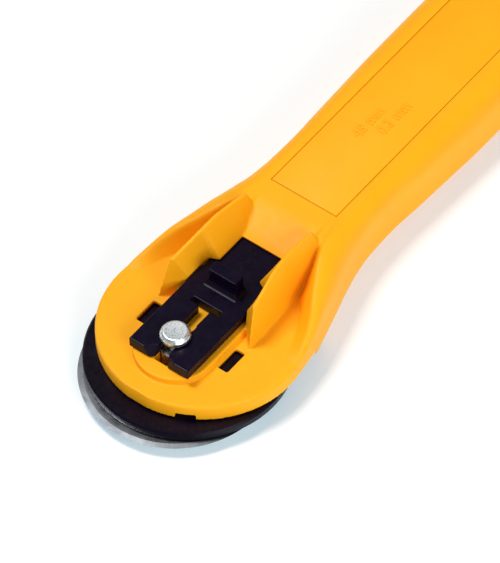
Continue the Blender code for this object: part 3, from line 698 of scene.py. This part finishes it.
class Nodes:
    """Small helper that builds the node tree of one Principled material."""

    def __init__(self, name):
        self.material = bpy.data.materials.new(name)
        self.material.use_nodes = True
        self.tree = self.material.node_tree
        self.shader = self.tree.nodes["Principled BSDF"]
        self.place = self.tree.nodes.new("ShaderNodeTexCoord").outputs["Object"]

    def set(self, **values):
        for key, value in values.items():
            self.shader.inputs[key.replace("_", " ")].default_value = value

    def noise(self, scale, detail, rough=0.5):
        node = self.tree.nodes.new("ShaderNodeTexNoise")
        node.inputs["Scale"].default_value = scale
        node.inputs["Detail"].default_value = detail
        node.inputs["Roughness"].default_value = rough
        self.tree.links.new(self.place, node.inputs["Vector"])
        return node.outputs["Fac"]

    def ramp(self, fac, stops):
        """Colours over fac, with stops given as (position, colour)."""
        node = self.tree.nodes.new("ShaderNodeValToRGB")
        while len(node.color_ramp.elements) < len(stops):
            node.color_ramp.elements.new(0.5)
        for element, (position, colour) in zip(node.color_ramp.elements, stops):
            element.position = position
            element.color = (*colour, 1.0)
        self.tree.links.new(fac, node.inputs["Fac"])
        return node.outputs["Color"]

    def grey(self, fac, low, high):
        """Value that runs from low to high over the middle of a noise's range."""
        node = self.tree.nodes.new("ShaderNodeMapRange")
        node.inputs["From Min"].default_value = 0.3
        node.inputs["From Max"].default_value = 0.7
        node.inputs["To Min"].default_value = low
        node.inputs["To Max"].default_value = high
        self.tree.links.new(fac, node.inputs["Value"])
        return node.outputs["Result"]

    def bump(self, height, distance, strength, under=None):
        node = self.tree.nodes.new("ShaderNodeBump")
        node.inputs["Strength"].default_value = strength
        node.inputs["Distance"].default_value = distance
        self.tree.links.new(height, node.inputs["Height"])
        if under:
            self.tree.links.new(under, node.inputs["Normal"])
        return node.outputs["Normal"]

    def link(self, output, socket):
        self.tree.links.new(output, self.shader.inputs[socket])


def yellow_plastic(name):
    n = Nodes(name)
    n.set(IOR=1.5, Specular_IOR_Level=0.17, Subsurface_Weight=0.1, Subsurface_Scale=0.0015)
    n.shader.inputs["Subsurface Radius"].default_value = (1.0, 0.5, 0.1)
    cloud = n.noise(90.0, 3.0)
    n.link(n.ramp(cloud, [(0.3, YELLOW_DEEP), (0.7, YELLOW_PALE)]), "Base Color")
    n.link(n.grey(n.noise(420.0, 5.0), 0.42, 0.52), "Roughness")
    grain = n.noise(5200.0, 2.0)
    waves = n.noise(160.0, 2.0)
    n.link(n.bump(grain, 0.00002, 0.35, n.bump(waves, 0.00012, 0.12)), "Normal")
    return n.material


def black_plastic(name, base):
    n = Nodes(name)
    n.set(IOR=1.48, Specular_IOR_Level=0.13)
    pale = tuple(1.6 * c for c in base)
    n.link(n.ramp(n.noise(130.0, 4.0), [(0.3, base), (0.7, pale)]), "Base Color")
    n.link(n.grey(n.noise(600.0, 6.0), 0.24, 0.36), "Roughness")
    n.link(n.bump(n.noise(3800.0, 3.0), 0.00002, 0.4), "Normal")
    return n.material


def blade_steel():
    """Steel with fine turning marks round the blade's axis."""
    n = Nodes("blade_steel")
    n.set(Metallic=1.0)
    separate = n.tree.nodes.new("ShaderNodeSeparateXYZ")
    n.tree.links.new(n.place, separate.inputs["Vector"])
    length = n.tree.nodes.new("ShaderNodeVectorMath")
    length.operation = "LENGTH"
    flat = n.tree.nodes.new("ShaderNodeCombineXYZ")
    n.tree.links.new(separate.outputs["X"], flat.inputs["X"])
    n.tree.links.new(separate.outputs["Y"], flat.inputs["Y"])
    n.tree.links.new(flat.outputs["Vector"], length.inputs[0])
    lines = n.tree.nodes.new("ShaderNodeTexNoise")
    lines.noise_dimensions = "1D"
    lines.inputs["Scale"].default_value = 9000.0
    lines.inputs["Detail"].default_value = 3.0
    n.tree.links.new(length.outputs["Value"], lines.inputs["W"])
    stops = [(0.25, (0.30, 0.32, 0.35)), (0.75, (0.40, 0.42, 0.45))]
    n.link(n.ramp(lines.outputs["Fac"], stops), "Base Color")
    n.link(n.grey(n.noise(300.0, 3.0), 0.24, 0.32), "Roughness")
    n.link(n.bump(lines.outputs["Fac"], 0.000001, 0.15), "Normal")
    return n.material


def plated_metal():
    """Bright plating with a crystalline speckle."""
    n = Nodes("pin_plated")
    n.set(Metallic=1.0)
    speckle = n.noise(1900.0, 4.0, 0.65)
    stops = [(0.40, (0.36, 0.41, 0.44)), (0.48, (0.88, 0.94, 0.97)), (0.56, (0.98, 1.0, 1.0))]
    n.link(n.ramp(speckle, stops), "Base Color")
    n.link(n.grey(speckle, 0.46, 0.26), "Roughness")
    n.link(n.bump(speckle, 0.00003, 0.35), "Normal")
    return n.material


# ---------------------------------------------------------------- build

finish_piece(make_handle(), yellow_plastic("handle_yellow"), "holder", "handle_body")
finish_piece(make_cover(), yellow_plastic("cover_yellow"), "holder", "grip_cover")
finish_piece(make_lever(), black_plastic("lever_black", LEVER_BLACK), "slider", "slide_lever")
finish_piece(make_guard(), black_plastic("guard_black", GUARD_BLACK), "slider", "blade_guard")
finish_piece(make_blade(), blade_steel(), "cutter_disc", "blade")
finish_piece(make_pin(), plated_metal(), "holder", "axle_pin")


# ---------------------------------------------------------------- floor, light and camera

def make_floor():
    bm = bmesh.new()
    bmesh.ops.create_grid(bm, x_segments=1, y_segments=1, size=3.0)
    floor = add_mesh("floor", bm)
    n = Nodes("floor_white")
    stops = [(0.3, (0.81, 0.70, 0.62)), (0.7, (0.83, 0.72, 0.64))]
    n.link(n.ramp(n.noise(3.0, 2.0), stops), "Base Color")
    # Painted light: the floor glows with a cool blue emission that lights the cutter from below and lifts
    # its cast shadows. The warm base colour is set against that glow so the shadows come out near grey.
    n.set(Roughness=0.9, Specular_IOR_Level=0.1, Emission_Strength=0.41)
    n.shader.inputs["Emission Color"].default_value = (0.41, 0.77, 0.97, 1.0)
    floor.data.materials.append(n.material)


def area_light(name, place, size, energy):
    """White square light aimed at the head of the cutter."""
    data = bpy.data.lights.new(name, "AREA")
    data.energy = energy
    data.size = size
    item = bpy.data.objects.new(name, data)
    item.location = place
    aim = Vector((0.02, 0.0, 0.0)) - Vector(place)
    item.rotation_euler = aim.to_track_quat("-Z", "Y").to_euler()
    bpy.context.scene.collection.objects.link(item)


def make_camera():
    """Long lens from the front right, turned a little about its own axis."""
    data = bpy.data.cameras.new("camera")
    data.lens = 425.9
    data.sensor_width = 36.0
    data.clip_end = 10.0
    camera = bpy.data.objects.new("camera", data)
    right = Vector((0.61213, -0.79042, -0.02283))
    up = Vector((0.62030, 0.46208, 0.63381))
    back = right.cross(up).normalized()
    turn = Matrix((right, up, back)).transposed().to_4x4()
    camera.matrix_world = Matrix.Translation((-0.71324, -0.60697, 1.17468)) @ turn
    bpy.context.scene.collection.objects.link(camera)
    bpy.context.scene.camera = camera


def make_world():
    world = bpy.data.worlds.new("studio")
    world.use_nodes = True
    background = world.node_tree.nodes["Background"]
    background.inputs["Color"].default_value = (1.0, 1.0, 1.0, 1.0)
    background.inputs["Strength"].default_value = 0.27
    bpy.context.scene.world = world


bpy.context.scene.view_settings.view_transform = "Standard"
make_floor()
make_world()
make_camera()
area_light("key", (-0.05, 0.45, 1.2), 0.36, 11.2)
area_light("fill", (-0.3, -0.85, 0.45), 0.6, 6.2)
